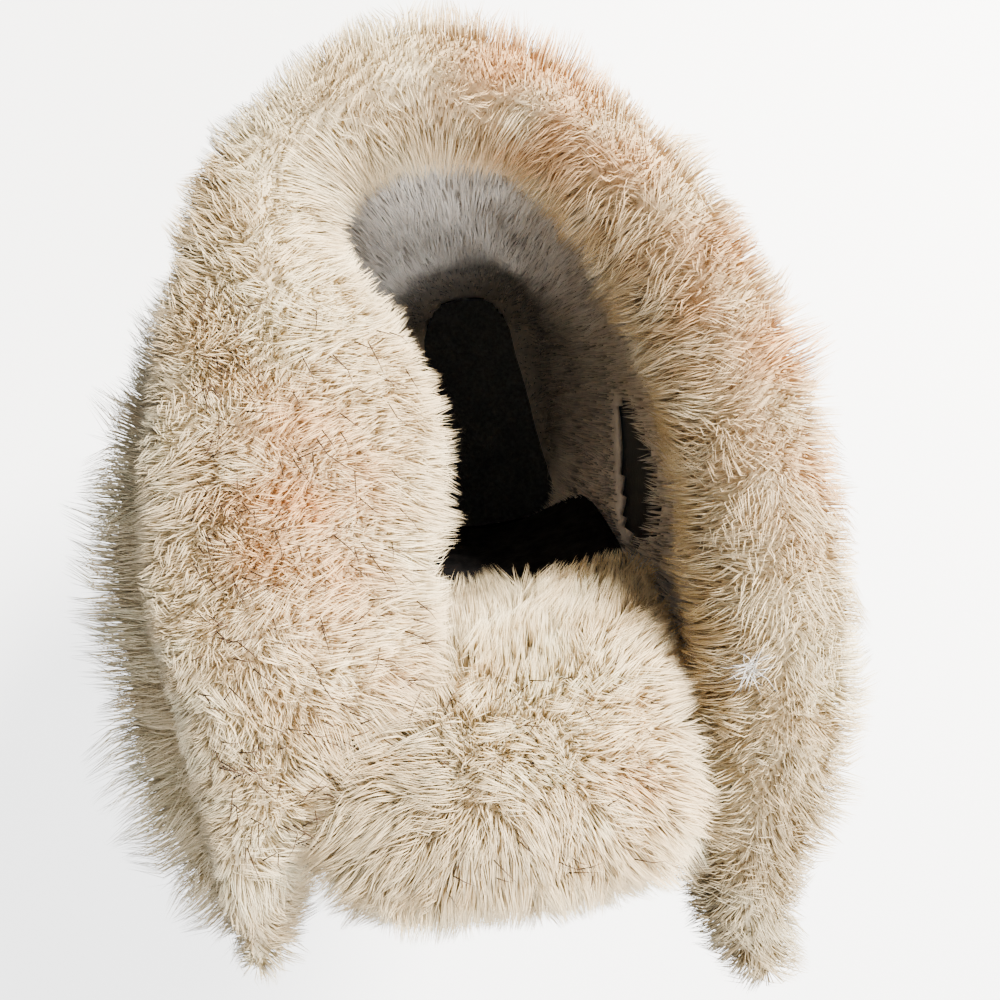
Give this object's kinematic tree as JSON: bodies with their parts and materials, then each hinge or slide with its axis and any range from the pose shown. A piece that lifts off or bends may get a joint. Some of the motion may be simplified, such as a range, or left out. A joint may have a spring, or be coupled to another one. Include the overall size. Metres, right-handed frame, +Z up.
{
  "type": "snow boot",
  "caption": "Mid-calf winter boot with a lugged cup sole, a hollow suede shaft with a front throat, a deep rolled fur cuff and a fur tongue that flops forward over the opening.",
  "frame": {"origin": "on the floor, on the flat heel lug under the middle of the heel", "axes": "+Z up, -Y towards the toe, +X towards the outer side of the left foot"},
  "size_m": [0.1942, 0.2876, 0.2828],
  "materials": {
    "rubber": "matt moulded rubber",
    "suede": "napped suede",
    "footbed": "dark felted footbed",
    "fur": "deep cream fur with warm patches"
  },
  "bodies": {
    "root": {"outsole": "rubber", "upper": "suede", "insole": "footbed", "cuff": "fur", "tongue": "fur"}
  },
  "joints": []
}
